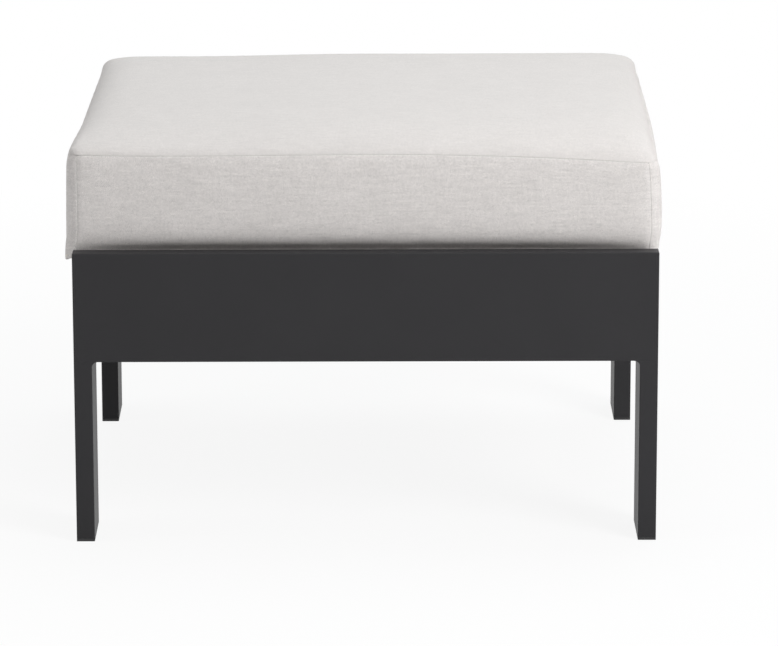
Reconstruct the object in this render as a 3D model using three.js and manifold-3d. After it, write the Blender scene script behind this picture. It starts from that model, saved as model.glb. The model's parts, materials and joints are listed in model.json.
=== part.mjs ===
// Outdoor ottoman footstool: a welded and powder-coated aluminium frame with a slatted deck,
// and a loose box cushion in a zipped fabric cover.
// Millimetres, +X to the right, +Y to the back, +Z up. The origin is on the ground, under the
// middle of the frame.

import * as THREE from "three";
import { mergeVertices } from "three/addons/utils/BufferGeometryUtils.js";
import Module from "manifold-3d";

const wasm = await Module();
wasm.setup();

// Frame: front and rear rails over their legs, with lower side rails between them
const FRAME_W = 640;
const FRAME_D = 590;
const FRAME_H = 326;
const RAIL_H = 122;
const RAIL_T = 20;
const RAIL_WALL = 2;
const END_PLATE_T = 3;
const DECK_DROP = 12;
const LEG_D = 80;
const LEG_W = 20;
const LEG_WALL = 2;
const WELD_FILLET_R = 5.5;
const EDGE_R = 1.2;

// Glide: a ribbed plug in the foot of each leg, with a flange that stands on the ground
const GLIDE_FLANGE_T = 3;
const GLIDE_PLUG_H = 20;
const GLIDE_CORE_INSET = 1.6;
const GLIDE_WALL = 2.4;
const GLIDE_RIB_T = 1.5;
const GLIDE_RIBS = 4;

// Deck: slats on two angles and a middle bearer, each slat riveted from below
const SLATS = 8;
const SLAT_W = 40;
const SLAT_T = 10;
const SLAT_WALL = 1.5;
const SLAT_EDGE_R = 1;
const SLAT_END_GAP = 0.5;
const ANGLE_LEG = 20;
const ANGLE_T = 3;
const BEARER_H = 40;
const BEARER_W = 20;
const BEARER_WALL = 2;
const RIVET_R = 2.4;
const RIVET_HEAD_R = 4.75;
const RIVET_HEAD_H = 1.6;
const RIVET_RIM_H = 0.4;
const RIVET_CROWN_R = 2.6;
const RIVET_CROWN_H = 1.35;
const RIVET_TAIL_R = 3.6;
const RIVET_TAIL_H = 4;

// Cushion: crowned top, boxing that is drawn in between the corners at both seams, flat base.
// Its heights are from its base, and it laps over the side rails by its overhang.
const CUSHION_OVERHANG = 5.5;
const CUSHION_EASE = 2;
const CUSHION_SIDE_SWELL = 1.5;
const CUSHION_CORNER_R = 12;
const CUSHION_H = 142;
const SEAM_MID_H = 117;
const SEAM_CORNER_H = 108;
const BASE_SEAM_LIFT = 4;
const DRAW_IN_TOP = 4;
const DRAW_IN_BASE = 8;
const COVER_T = 1.2;
const CROWN_POWER_TO_ENDS = 9;
const CROWN_POWER_TO_SIDES = 24;

// Zip along the middle of the rear boxing, short of the cushion's ends by its margins
const ZIP_END_MARGIN = 75.5;
const ZIP_SLOT_H = 9;
const ZIP_TAPE_H = 28;
const ZIP_TAPE_T = 0.8;
const ZIP_TAPE_TAIL = 8;
const CHAIN_W = 6;
const CHAIN_T = 2.4;
const STOP_LENGTH = 3;
const STOP_PROUD = 0.9;
const SLIDER_LENGTH = 12;
const SLIDER_W = 9.8;
const SLIDER_PLATE_T = 1.3;
const SLIDER_CORNER_R = 2.5;
const CROWN_LOOP_W = 1.8;
const CROWN_LOOP_T = 1.2;
const CROWN_LOOP_SPAN = 2.4;
const PULL_PIN_D = 1.4;
const PULL_LENGTH = 25;
const PULL_W = 6.5;
const PULL_T = 1.4;
const PULL_EYE_L = 3.4;
const PULL_GRIP_L = 9;
const PULL_GRIP_W = 3;

// Fits, cuts and steps
const FIT_GAP = 0.3;
const OVERRUN = 1;
const WELD_TOLERANCE = 0.0001;
const EDGE_STEPS = 3;
const FILLET_STEPS = 7;
const ROUND_STEPS = 8;
const SIDE_STEPS = 10;
const CORNER_STEPS = 2;

// Where the cushion's rows lie: rings as shares of the way out from the middle of a panel, and
// boxing rows as shares of the way up from seam to seam, whose middle band is straight
const PANEL_RING_SHARES = [0.985, 0.955, 0.9, 0.8, 0.6];
const BASE_RING_SHARES = [0.96, 0.5];
const BAND_SHARE = 0.16;
const BOXING_ROW_SHARES = [1, 0.93, 0.82, 0.5 + BAND_SHARE, 0.5 - BAND_SHARE, 0.18, 0.07, 0];

// Places that follow from the sizes above
const DECK_Z = FRAME_H - DECK_DROP;
const RAIL_BASE_Z = FRAME_H - RAIL_H;
const RAIL_MID_Z = FRAME_H - RAIL_H / 2;
const RAIL_Y = FRAME_D / 2 - RAIL_T / 2;
const BAY_W = FRAME_W - 2 * LEG_W;
const BAY_D = FRAME_D - 2 * RAIL_T;
const SLAT_BASE_Z = DECK_Z - SLAT_T;
const RIVET_Y = BAY_D / 2 - (ANGLE_LEG + ANGLE_T) / 2;
const RIVET_HOLE_R = RIVET_R + FIT_GAP;
const CUSHION_W = FRAME_W + 2 * CUSHION_OVERHANG;
const CUSHION_D = BAY_D - 2 * CUSHION_EASE;
const CORNER_SEAM_X = CUSHION_W / 2 - CUSHION_SIDE_SWELL - CUSHION_CORNER_R;
const CUSHION_BASE_Z = DECK_Z + FIT_GAP;
const BASE_SEAM_Z = CUSHION_BASE_Z + BASE_SEAM_LIFT;
const SEAM_CORNER_TOP = CUSHION_BASE_Z + SEAM_CORNER_H;
const CROWN_TOP = CUSHION_BASE_Z + CUSHION_H;
const CORE_EASE = ZIP_TAPE_T + 2 * FIT_GAP;
const ZIP_LENGTH = CUSHION_W - 2 * ZIP_END_MARGIN;
const ZIP_Z = (BASE_SEAM_Z + CUSHION_BASE_Z + (SEAM_MID_H + SEAM_CORNER_H) / 2) / 2;
const ZIP_FACE_Y = CUSHION_D / 2;
const TAPE_FACE_Y = ZIP_FACE_Y - COVER_T - FIT_GAP;
const CHAIN_FACE_Y = TAPE_FACE_Y + CHAIN_T;
const PLATE_BACK_Y = CHAIN_FACE_Y + FIT_GAP;
const PLATE_FACE_Y = PLATE_BACK_Y + SLIDER_PLATE_T;
const PIVOT_Y = PLATE_FACE_Y + FIT_GAP + PULL_PIN_D / 2;
const SLIDER_REST_X = ZIP_LENGTH / 2 - STOP_LENGTH - FIT_GAP - SLIDER_LENGTH / 2;

const ottoman = new THREE.Group();

const powderCoat = { color: 0x3a3a3c, roughness: 0.55, metalness: 0.2 };
const blackPlastic = { color: 0x161617, roughness: 0.6, metalness: 0 };
const bareAluminium = { color: 0xb9bbbd, roughness: 0.35, metalness: 0.9 };
const heatheredFabric = { color: 0xd9d4d1, roughness: 0.95, metalness: 0 };
const paleFoam = { color: 0xf2efe4, roughness: 1, metalness: 0 };
const zipTape = { color: 0xcfcac6, roughness: 0.9, metalness: 0 };
const zipMetal = { color: 0x8f8c88, roughness: 0.4, metalness: 0.8 };

// Solids: closed meshes with shared vertices, joined and cut

function toSolid(geometry) {
  const bare = new THREE.BufferGeometry();
  bare.setAttribute("position", geometry.getAttribute("position"));
  bare.setIndex(geometry.index);
  const merged = mergeVertices(bare, WELD_TOLERANCE);
  return new wasm.Manifold(new wasm.Mesh({
    numProp: 3,
    vertProperties: Float32Array.from(merged.getAttribute("position").array),
    triVerts: Uint32Array.from(merged.index.array),
  }));
}

function toGeometry(solid) {
  const { vertProperties, triVerts } = solid.getMesh();
  const geometry = new THREE.BufferGeometry();
  geometry.setAttribute("position", new THREE.BufferAttribute(vertProperties, 3));
  geometry.setIndex(new THREE.BufferAttribute(triVerts, 1));
  geometry.computeVertexNormals();
  return geometry;
}

function join(first, ...others) {
  return toGeometry(others.reduce((sum, other) => sum.add(toSolid(other)), toSolid(first)));
}

function cut(body, cutters) {
  return toGeometry(cutters.reduce((rest, cutter) => rest.subtract(toSolid(cutter)), toSolid(body)));
}

function place(name, geometry, finish, x, y, z) {
  const mesh = new THREE.Mesh(geometry, new THREE.MeshStandardMaterial(finish));
  mesh.name = name;
  mesh.position.set(x, y, z);
  ottoman.add(mesh);
  return mesh;
}

// A shape is drawn as seen along the axis: across and up are Y and Z along X, X and Z along Y,
// and X and Y along Z. The bar lies with its middle at the origin.
function extrude(axis, shape, length) {
  const geometry = new THREE.ExtrudeGeometry(shape, {
    depth: length,
    bevelEnabled: false,
    curveSegments: EDGE_STEPS,
  });
  geometry.translate(0, 0, -length / 2);
  if (axis === "x") {
    geometry.rotateX(Math.PI / 2);
    geometry.rotateZ(Math.PI / 2);
  }
  if (axis === "y") {
    geometry.rotateX(Math.PI / 2);
  }
  return geometry;
}

// Corner radii run from the lower left corner round to the upper left one
function rectangle(width, height, radii, Outline = THREE.Shape) {
  const signs = [[-1, -1], [1, -1], [1, 1], [-1, 1]];
  const outline = new Outline();
  signs.forEach(([across, up], corner) => {
    const radius = radii[corner];
    const start = Math.PI + corner * Math.PI / 2;
    const x = across * (width / 2 - radius);
    const y = up * (height / 2 - radius);
    if (radius > 0) {
      outline.absarc(x, y, radius, start, start + Math.PI / 2, false);
    } else if (corner === 0) {
      outline.moveTo(x, y);
    } else {
      outline.lineTo(x, y);
    }
  });
  outline.closePath();
  return outline;
}

function sharpRectangle(width, height, Outline) {
  return rectangle(width, height, [0, 0, 0, 0], Outline);
}

function evenRectangle(width, height, radius, Outline) {
  return rectangle(width, height, [radius, radius, radius, radius], Outline);
}

function boxTube(axis, width, height, wall, radii, length) {
  const section = rectangle(width, height, radii);
  section.holes.push(sharpRectangle(width - 2 * wall, height - 2 * wall, THREE.Path));
  return extrude(axis, section, length);
}

function box(width, depth, height, x, y, z) {
  return new THREE.BoxGeometry(width, depth, height).translate(x, y, z);
}

// What a quarter round leaves of its corner. The corner is at the origin, towards (across, up)
// from the round's middle, and the piece goes on past it by the two margins.
function spandrel(radius, across, up, marginAcross, marginUp, steps) {
  const outline = new THREE.Shape();
  outline.moveTo(across * marginAcross, up * marginUp);
  outline.lineTo(-across * radius, up * marginUp);
  for (let step = 0; step <= steps; step++) {
    const angle = step / steps * Math.PI / 2;
    outline.lineTo(across * radius * (Math.sin(angle) - 1), up * radius * (Math.cos(angle) - 1));
  }
  outline.lineTo(across * marginAcross, -up * radius);
  outline.closePath();
  return outline;
}

function edgeCutter(axis, across, up, length) {
  return extrude(axis, spandrel(EDGE_R, across, up, OVERRUN, OVERRUN, EDGE_STEPS), length);
}

// Frame

const fourCorners = [
  ["front_left", -1, -1],
  ["front_right", 1, -1],
  ["rear_left", -1, 1],
  ["rear_right", 1, 1],
];

// A rail's upper edges are rounded all along, and its lower ones only between the weld fillets,
// so that it runs into the legs without a groove.
function endRail() {
  const tube = boxTube("x", RAIL_T, RAIL_H, RAIL_WALL, [0, 0, EDGE_R, EDGE_R],
    FRAME_W - 2 * END_PLATE_T);
  const openSpan = BAY_W - 2 * WELD_FILLET_R;
  const cutters = [-1, 1].map((side) =>
    edgeCutter("x", side, -1, openSpan).translate(0, side * RAIL_T / 2, -RAIL_H / 2));
  return cut(tube, cutters);
}

function endPlate(sideX, sideY) {
  const plate = extrude("x", rectangle(RAIL_T, RAIL_H, [0, 0, EDGE_R, EDGE_R]), END_PLATE_T);
  const upright = edgeCutter("z", sideX, sideY, RAIL_H + 2 * OVERRUN);
  const level = edgeCutter("y", sideX, 1, RAIL_T + 2 * OVERRUN);
  return cut(plate, [
    upright.translate(sideX * END_PLATE_T / 2, sideY * RAIL_T / 2, 0),
    level.translate(sideX * END_PLATE_T / 2, 0, RAIL_H / 2),
  ]);
}

function sideRail() {
  const height = RAIL_H - DECK_DROP;
  const tube = boxTube("y", LEG_W, height, RAIL_WALL, [0, 0, EDGE_R, EDGE_R], BAY_D);
  const openSpan = FRAME_D - 2 * LEG_D - 2 * WELD_FILLET_R;
  const cutters = [-1, 1].map((side) =>
    edgeCutter("y", side, -1, openSpan).translate(side * LEG_W / 2, 0, -height / 2));
  return cut(tube, cutters);
}

// A leg is open at both ends. Its weld is dressed to a fillet under the end rail on the inner
// side, and to another under the side rail.
function leg(sideX, sideY) {
  const height = RAIL_BASE_Z - GLIDE_FLANGE_T;
  const tube = boxTube("z", LEG_W, LEG_D, LEG_WALL, [EDGE_R, EDGE_R, EDGE_R, EDGE_R], height);
  const underEndRail = spandrel(WELD_FILLET_R, sideX, 1, EDGE_R, 0, FILLET_STEPS);
  const underSideRail = spandrel(WELD_FILLET_R, sideY, 1, EDGE_R, 0, FILLET_STEPS);
  const endFillet = extrude("y", underEndRail, RAIL_T);
  const sideFillet = extrude("x", underSideRail, LEG_W);
  return join(
    tube,
    endFillet.translate(-sideX * LEG_W / 2, sideY * (LEG_D - RAIL_T) / 2, height / 2),
    sideFillet.translate(0, -sideY * LEG_D / 2, height / 2),
  );
}

// The plug is a cup, open at its top, with ribs round it that grip the leg's bore
function glide() {
  const boreW = LEG_W - 2 * LEG_WALL - 2 * FIT_GAP;
  const boreD = LEG_D - 2 * LEG_WALL - 2 * FIT_GAP;
  const coreW = boreW - 2 * GLIDE_CORE_INSET;
  const coreD = boreD - 2 * GLIDE_CORE_INSET;
  const ribPitch = GLIDE_PLUG_H / GLIDE_RIBS;
  const flange = extrude("z", evenRectangle(LEG_W, LEG_D, EDGE_R), GLIDE_FLANGE_T);
  const core = extrude("z", sharpRectangle(coreW, coreD), GLIDE_PLUG_H);
  const ribs = Array.from({ length: GLIDE_RIBS }, (_, rib) =>
    extrude("z", sharpRectangle(boreW, boreD), GLIDE_RIB_T)
      .translate(0, 0, GLIDE_FLANGE_T + (rib + 1) * ribPitch - GLIDE_RIB_T));
  const pocket = box(coreW - 2 * GLIDE_WALL, coreD - 2 * GLIDE_WALL, GLIDE_PLUG_H,
    0, 0, GLIDE_FLANGE_T + GLIDE_PLUG_H / 2 + OVERRUN);
  const solid = join(
    flange.translate(0, 0, GLIDE_FLANGE_T / 2),
    core.translate(0, 0, GLIDE_FLANGE_T + GLIDE_PLUG_H / 2),
    ...ribs,
  );
  return cut(solid, [pocket]);
}

function buildFrame() {
  const sideRailZ = (RAIL_BASE_Z + DECK_Z) / 2;
  const sideX = (FRAME_W - LEG_W) / 2;
  place("front_rail", endRail(), powderCoat, 0, -RAIL_Y, RAIL_MID_Z);
  place("rear_rail", endRail(), powderCoat, 0, RAIL_Y, RAIL_MID_Z);
  place("left_side_rail", sideRail(), powderCoat, -sideX, 0, sideRailZ);
  place("right_side_rail", sideRail(), powderCoat, sideX, 0, sideRailZ);
  for (const [corner, alongX, alongY] of fourCorners) {
    const legX = alongX * sideX;
    const legY = alongY * (FRAME_D - LEG_D) / 2;
    const legZ = (RAIL_BASE_Z + GLIDE_FLANGE_T) / 2;
    const plateX = alongX * (FRAME_W - END_PLATE_T) / 2;
    place(`${corner}_end_plate`, endPlate(alongX, alongY), powderCoat,
      plateX, alongY * RAIL_Y, RAIL_MID_Z);
    place(`${corner}_leg`, leg(alongX, alongY), powderCoat, legX, legY, legZ);
    place(`${corner}_glide`, glide(), blackPlastic, legX, legY, 0);
  }
}

// Deck

function slatPlaces() {
  const pitch = BAY_W / SLATS;
  return Array.from({ length: SLATS }, (_, slat) => (slat + 0.5) * pitch - BAY_W / 2);
}

function rivetHole(x, y, z, depth) {
  const bore = new THREE.CylinderGeometry(RIVET_HOLE_R, RIVET_HOLE_R, depth, ROUND_STEPS);
  return bore.rotateX(Math.PI / 2).translate(x, y, z);
}

// The angle's flat flange carries the slats, and its upright one is welded to the rail
function slatAngle(side) {
  const outline = new THREE.Shape();
  outline.moveTo(0, 0);
  outline.lineTo(-side * ANGLE_LEG, 0);
  outline.lineTo(-side * ANGLE_LEG, -ANGLE_T);
  outline.lineTo(-side * ANGLE_T, -ANGLE_T);
  outline.lineTo(-side * ANGLE_T, -ANGLE_LEG);
  outline.lineTo(0, -ANGLE_LEG);
  outline.closePath();
  const holes = slatPlaces().map((x) =>
    rivetHole(x, side * (RIVET_Y - BAY_D / 2), -ANGLE_T / 2, ANGLE_T + 2 * OVERRUN));
  return cut(extrude("x", outline, BAY_W), holes);
}

function slat() {
  const radii = [SLAT_EDGE_R, SLAT_EDGE_R, SLAT_EDGE_R, SLAT_EDGE_R];
  const tube = boxTube("y", SLAT_W, SLAT_T, SLAT_WALL, radii, BAY_D - 2 * SLAT_END_GAP);
  const holes = [-1, 1].map((side) =>
    rivetHole(0, side * RIVET_Y, -SLAT_T / 2, 2 * SLAT_WALL + OVERRUN));
  return cut(tube, holes);
}

// A blind rivet, set from below: its domed head under the flange and its tail in the slat
function rivet() {
  const grip = ANGLE_T + SLAT_WALL;
  const profile = [
    new THREE.Vector2(0, -RIVET_HEAD_H),
    new THREE.Vector2(RIVET_CROWN_R, -RIVET_CROWN_H),
    new THREE.Vector2(RIVET_HEAD_R, -RIVET_RIM_H),
    new THREE.Vector2(RIVET_HEAD_R, 0),
    new THREE.Vector2(RIVET_R, 0),
    new THREE.Vector2(RIVET_R, grip),
    new THREE.Vector2(RIVET_TAIL_R, grip),
    new THREE.Vector2(RIVET_TAIL_R, grip + RIVET_TAIL_H / 2),
    new THREE.Vector2(RIVET_R, grip + RIVET_TAIL_H),
    new THREE.Vector2(0, grip + RIVET_TAIL_H),
  ];
  return toGeometry(toSolid(new THREE.LatheGeometry(profile, ROUND_STEPS).rotateX(Math.PI / 2)));
}

function buildDeck() {
  const bearer = boxTube("x", BEARER_W, BEARER_H, BEARER_WALL,
    [EDGE_R, EDGE_R, EDGE_R, EDGE_R], BAY_W);
  place("middle_bearer", bearer, powderCoat, 0, 0, SLAT_BASE_Z - BEARER_H / 2);
  place("front_slat_angle", slatAngle(-1), powderCoat, 0, -BAY_D / 2, SLAT_BASE_Z);
  place("rear_slat_angle", slatAngle(1), powderCoat, 0, BAY_D / 2, SLAT_BASE_Z);
  slatPlaces().forEach((x, index) => {
    const rivetZ = SLAT_BASE_Z - ANGLE_T;
    place(`slat_${index + 1}`, slat(), powderCoat, x, 0, SLAT_BASE_Z + SLAT_T / 2);
    place(`front_rivet_${index + 1}`, rivet(), bareAluminium, x, -RIVET_Y, rivetZ);
    place(`rear_rivet_${index + 1}`, rivet(), bareAluminium, x, RIVET_Y, rivetZ);
  });
}

// Cushion: every piece follows one outline, in stations that run round it from the right side

// A side station has its share from one corner to the other, and a corner one has its turn
function stations() {
  const list = [];
  for (let quarter = 0; quarter < 4; quarter++) {
    for (let step = 0; step <= SIDE_STEPS; step++) {
      list.push({ quarter, share: 2 * step / SIDE_STEPS - 1, turn: 0 });
    }
    for (let step = 1; step < CORNER_STEPS; step++) {
      list.push({ quarter, share: 1, turn: step / CORNER_STEPS * Math.PI / 2 });
    }
  }
  return list;
}

// Where a station lies in plan: inset is how far inside the cover's outer face the piece lies,
// and swell how far the middle of a side stands out (above 0) or is drawn in (below 0).
function planPoint({ quarter, share, turn }, inset, swell) {
  const even = quarter % 2 === 0;
  const halfW = CUSHION_W / 2 - CUSHION_SIDE_SWELL - inset;
  const halfD = CUSHION_D / 2 - inset;
  const radius = CUSHION_CORNER_R - inset;
  const reach = (even ? halfW : halfD) - radius;
  const run = (even ? halfD : halfW) - radius;
  const out = reach + radius * Math.cos(turn) + swell * (1 - share * share);
  const along = share * run + radius * Math.sin(turn);
  const point = new THREE.Vector2(out, along);
  return point.rotateAround(new THREE.Vector2(), quarter * Math.PI / 2);
}

function seamTop({ share }) {
  return SEAM_CORNER_TOP + (SEAM_MID_H - SEAM_CORNER_H) * (1 - share * share);
}

// The left and right sides swell at mid height. Front and rear stay straight there, for the zip.
function sideSwell({ quarter }, rowShare) {
  const fall = Math.max(0, Math.abs(rowShare - 0.5) - BAND_SHARE) / (0.5 - BAND_SHARE);
  const drawIn = rowShare > 0.5 ? DRAW_IN_TOP : DRAW_IN_BASE;
  const full = quarter % 2 === 0 ? CUSHION_SIDE_SWELL : 0;
  return full - (full + drawIn) * fall * fall;
}

// One closed row of points round the boxing, at a share of its height
function boxingRow(rowShare, inset, lower, upper) {
  return stations().map((station) => {
    const plan = planPoint(station, inset, sideSwell(station, rowShare));
    const z = lower + (seamTop(station) - upper - lower) * rowShare;
    return new THREE.Vector3(plan.x, plan.y, z);
  });
}

// How full the crown is: 1 at the middle of the top, and 0 all along its seam. Its shoulders are
// rounder to the front and rear than to the left and right.
function crownFullness({ quarter, share }, ringShare) {
  const shares = [ringShare, Math.abs(ringShare * share)];
  const [toSide, toEnd] = quarter % 2 === 0 ? shares : shares.reverse();
  return (1 - toSide ** CROWN_POWER_TO_SIDES) * (1 - toEnd ** CROWN_POWER_TO_ENDS);
}

// One closed row of the crowned top, at a share of the way out from its middle
function crownRow(ringShare, inset, sunk) {
  return stations().map((station) => {
    const plan = planPoint(station, inset, sideSwell(station, 1)).multiplyScalar(ringShare);
    const rise = (CROWN_TOP - seamTop(station)) * crownFullness(station, ringShare);
    return new THREE.Vector3(plan.x, plan.y, seamTop(station) + rise - sunk);
  });
}

// One closed row of the base, which is flat but for its rim
function baseRow(ringShare, inset, raised) {
  const lift = ringShare === 1 ? BASE_SEAM_LIFT : 0;
  return stations().map((station) => {
    const plan = planPoint(station, inset, sideSwell(station, 0)).multiplyScalar(ringShare);
    return new THREE.Vector3(plan.x, plan.y, CUSHION_BASE_Z + lift + raised);
  });
}

// The two triangles of a four-cornered patch, split along its shorter diagonal, so that faces
// that lie one over the other are split alike. A patch at a pole is one triangle.
function patch(points, a, b, c, d) {
  if (a === d) {
    return [a, b, c];
  }
  if (b === c) {
    return [a, b, d];
  }
  const splitAtA = points[a].distanceTo(points[c]) <= points[b].distanceTo(points[d]);
  return splitAtA ? [a, b, c, a, c, d] : [a, b, d, b, c, d];
}

// Skins closed rows, which run from the top down the outside. A row of one point is a pole,
// and without poles the last row joins the first.
function loft(rows) {
  const points = rows.flat();
  const starts = rows.map((_, index) => rows.slice(0, index).flat().length);
  const indices = [];
  const bands = rows[0].length === 1 ? rows.length - 1 : rows.length;
  for (let band = 0; band < bands; band++) {
    const next = (band + 1) % rows.length;
    const count = Math.max(rows[band].length, rows[next].length);
    for (let index = 0; index < count; index++) {
      const upper = [index, index + 1].map((at) => starts[band] + at % rows[band].length);
      const lower = [index, index + 1].map((at) => starts[next] + at % rows[next].length);
      indices.push(...patch(points, upper[0], lower[0], lower[1], upper[1]));
    }
  }
  const geometry = new THREE.BufferGeometry().setFromPoints(points);
  geometry.setIndex(indices);
  geometry.computeVertexNormals();
  return geometry;
}

function topPanel() {
  const inward = [...PANEL_RING_SHARES];
  const outward = [...PANEL_RING_SHARES].reverse();
  return loft([
    [new THREE.Vector3(0, 0, CROWN_TOP)],
    ...outward.map((share) => crownRow(share, 0, 0)),
    crownRow(1, 0, 0),
    crownRow(1, 0, COVER_T),
    ...inward.map((share) => crownRow(share, 0, COVER_T)),
    [new THREE.Vector3(0, 0, CROWN_TOP - COVER_T)],
  ]);
}

function bottomPanel() {
  const inward = [...BASE_RING_SHARES];
  const outward = [...BASE_RING_SHARES].reverse();
  return loft([
    [new THREE.Vector3(0, 0, CUSHION_BASE_Z + COVER_T)],
    ...outward.map((share) => baseRow(share, 0, COVER_T)),
    baseRow(1, 0, COVER_T),
    baseRow(1, 0, 0),
    ...inward.map((share) => baseRow(share, 0, 0)),
    [new THREE.Vector3(0, 0, CUSHION_BASE_Z)],
  ]);
}

// The whole band round the cushion, from which the boxing's four panels are cut
function boxingBand() {
  const lower = BASE_SEAM_Z + COVER_T + FIT_GAP;
  const upper = COVER_T + FIT_GAP;
  const down = BOXING_ROW_SHARES;
  const up = [...BOXING_ROW_SHARES].reverse();
  return loft([
    ...down.map((share) => boxingRow(share, 0, lower, upper)),
    ...up.map((share) => boxingRow(share, COVER_T, lower, upper)),
  ]);
}

// A block as tall as the cushion, from one place to another across and from one to another deep
function block(fromX, toX, fromY, toY) {
  return box(Math.abs(toX - fromX), Math.abs(toY - fromY), CUSHION_H,
    (fromX + toX) / 2, (fromY + toY) / 2, CUSHION_BASE_Z + CUSHION_H / 2);
}

// The front and rear panels are straight, and end at the upright seams
function endPanel(sideY, cutters) {
  const seamX = CORNER_SEAM_X - FIT_GAP / 2;
  const outerX = CUSHION_W / 2 + OVERRUN;
  const outerY = CUSHION_D / 2 + OVERRUN;
  return cut(boxingBand(), [
    block(seamX, outerX, -outerY, outerY),
    block(-outerX, -seamX, -outerY, outerY),
    block(-outerX, outerX, 0, -sideY * outerY),
    ...cutters,
  ]);
}

// The left and right panels wrap the corners
function sidePanel(sideX) {
  const seamX = CORNER_SEAM_X + FIT_GAP / 2;
  const outerX = CUSHION_W / 2 + OVERRUN;
  const outerY = CUSHION_D / 2 + OVERRUN;
  return cut(boxingBand(), [block(-sideX * outerX, sideX * seamX, -outerY, outerY)]);
}

function zipSlot() {
  return box(ZIP_LENGTH + 2 * FIT_GAP, COVER_T + 2 * OVERRUN, ZIP_SLOT_H,
    0, ZIP_FACE_Y - COVER_T / 2, ZIP_Z);
}

function foamCore() {
  const inset = COVER_T + CORE_EASE;
  const sunk = COVER_T + FIT_GAP;
  const lower = BASE_SEAM_Z + sunk;
  const crown = [...PANEL_RING_SHARES].reverse();
  const rows = BOXING_ROW_SHARES.filter((share) => share > 0);
  return loft([
    [new THREE.Vector3(0, 0, CROWN_TOP - sunk)],
    ...crown.map((share) => crownRow(share, inset, sunk)),
    ...rows.map((share) => boxingRow(share, inset, lower, sunk)),
    baseRow(1, inset, sunk),
    ...BASE_RING_SHARES.map((share) => baseRow(share, inset, sunk)),
    [new THREE.Vector3(0, 0, CUSHION_BASE_Z + sunk)],
  ]);
}

function buildCushion() {
  place("cushion_top_panel", topPanel(), heatheredFabric, 0, 0, 0);
  place("cushion_boxing", endPanel(-1, []), heatheredFabric, 0, 0, 0);
  place("cushion_zip_panel", endPanel(1, [zipSlot()]), heatheredFabric, 0, 0, 0);
  place("cushion_left_boxing", sidePanel(-1), heatheredFabric, 0, 0, 0);
  place("cushion_right_boxing", sidePanel(1), heatheredFabric, 0, 0, 0);
  place("cushion_bottom_panel", bottomPanel(), heatheredFabric, 0, 0, 0);
  place("foam_core", foamCore(), paleFoam, 0, 0, 0);
}

// Zip

// The closed chain has a wider stop at each end
function chain() {
  const run = box(ZIP_LENGTH, CHAIN_T, CHAIN_W, 0, 0, 0);
  const stops = [-1, 1].map((side) =>
    box(STOP_LENGTH, CHAIN_T + STOP_PROUD, CHAIN_W + 2 * STOP_PROUD,
      side * (ZIP_LENGTH - STOP_LENGTH) / 2, STOP_PROUD / 2, 0));
  return join(run, ...stops);
}

// The slider's plate lies over the chain, with a flange down each side of it, and carries the
// crown: a small arch along the zip that holds the pull's pin.
function slider() {
  const flangeT = (SLIDER_W - CHAIN_W) / 2 - FIT_GAP;
  const flangeH = PLATE_BACK_Y - ZIP_FACE_Y - FIT_GAP;
  const archH = PULL_PIN_D + 2 * FIT_GAP + CROWN_LOOP_T;
  const archL = CROWN_LOOP_SPAN + 2 * CROWN_LOOP_T;
  const plate = extrude("y", evenRectangle(SLIDER_LENGTH, SLIDER_W, SLIDER_CORNER_R), SLIDER_PLATE_T);
  const flanges = [-1, 1].map((side) =>
    box(SLIDER_LENGTH - 2 * SLIDER_CORNER_R, flangeH + SLIDER_PLATE_T / 2, flangeT,
      0, SLIDER_PLATE_T / 4 - SLIDER_PLATE_T / 2 - flangeH / 2, side * (SLIDER_W - flangeT) / 2));
  const arch = box(archL, archH + SLIDER_PLATE_T / 2, CROWN_LOOP_W,
    0, SLIDER_PLATE_T / 4 + archH / 2, 0);
  const eye = box(CROWN_LOOP_SPAN, PULL_PIN_D + 2 * FIT_GAP, CROWN_LOOP_W + 2 * OVERRUN,
    0, SLIDER_PLATE_T / 2 + PULL_PIN_D / 2 + FIT_GAP, 0);
  return join(plate, ...flanges, cut(arch, [eye]));
}

// The pull lies flat towards -X. Its pin, at the origin, passes under the crown, and the crown
// passes through the eye next to it.
function pull() {
  const eyeStart = PULL_PIN_D / 2;
  const tabL = PULL_LENGTH + PULL_PIN_D / 2;
  const tab = extrude("y", evenRectangle(tabL, PULL_W, SLIDER_CORNER_R), PULL_T);
  const eye = box(PULL_EYE_L, PULL_T + 2 * OVERRUN, CROWN_LOOP_W + 2 * FIT_GAP,
    -eyeStart - PULL_EYE_L / 2, 0, 0);
  const grip = extrude("y", evenRectangle(PULL_GRIP_L, PULL_GRIP_W, PULL_GRIP_W / 2 - FIT_GAP),
    PULL_T + 2 * OVERRUN);
  return cut(tab.translate(PULL_PIN_D / 2 - tabL / 2, 0, 0), [
    eye,
    grip.translate(-PULL_LENGTH + PULL_GRIP_L / 2 + PULL_GRIP_W, 0, 0),
  ]);
}

function buildZip() {
  const tapeH = (ZIP_TAPE_H - FIT_GAP) / 2;
  const tapeZ = (tapeH + FIT_GAP) / 2;
  const tape = () => box(ZIP_LENGTH + 2 * ZIP_TAPE_TAIL, ZIP_TAPE_T, tapeH, 0, 0, 0);
  const tapeY = TAPE_FACE_Y - ZIP_TAPE_T / 2;
  place("zip_upper_tape", tape(), zipTape, 0, tapeY, ZIP_Z + tapeZ);
  place("zip_lower_tape", tape(), zipTape, 0, tapeY, ZIP_Z - tapeZ);
  place("zip_chain", chain(), zipMetal, 0, TAPE_FACE_Y + CHAIN_T / 2, ZIP_Z);
  place("zip_slider", slider(), zipMetal, SLIDER_REST_X, PLATE_BACK_Y + SLIDER_PLATE_T / 2, ZIP_Z);
  place("zip_pull", pull(), zipMetal, SLIDER_REST_X, PIVOT_Y, ZIP_Z);
}

buildFrame();
buildDeck();
buildCushion();
buildZip();

export default ottoman;
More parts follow.
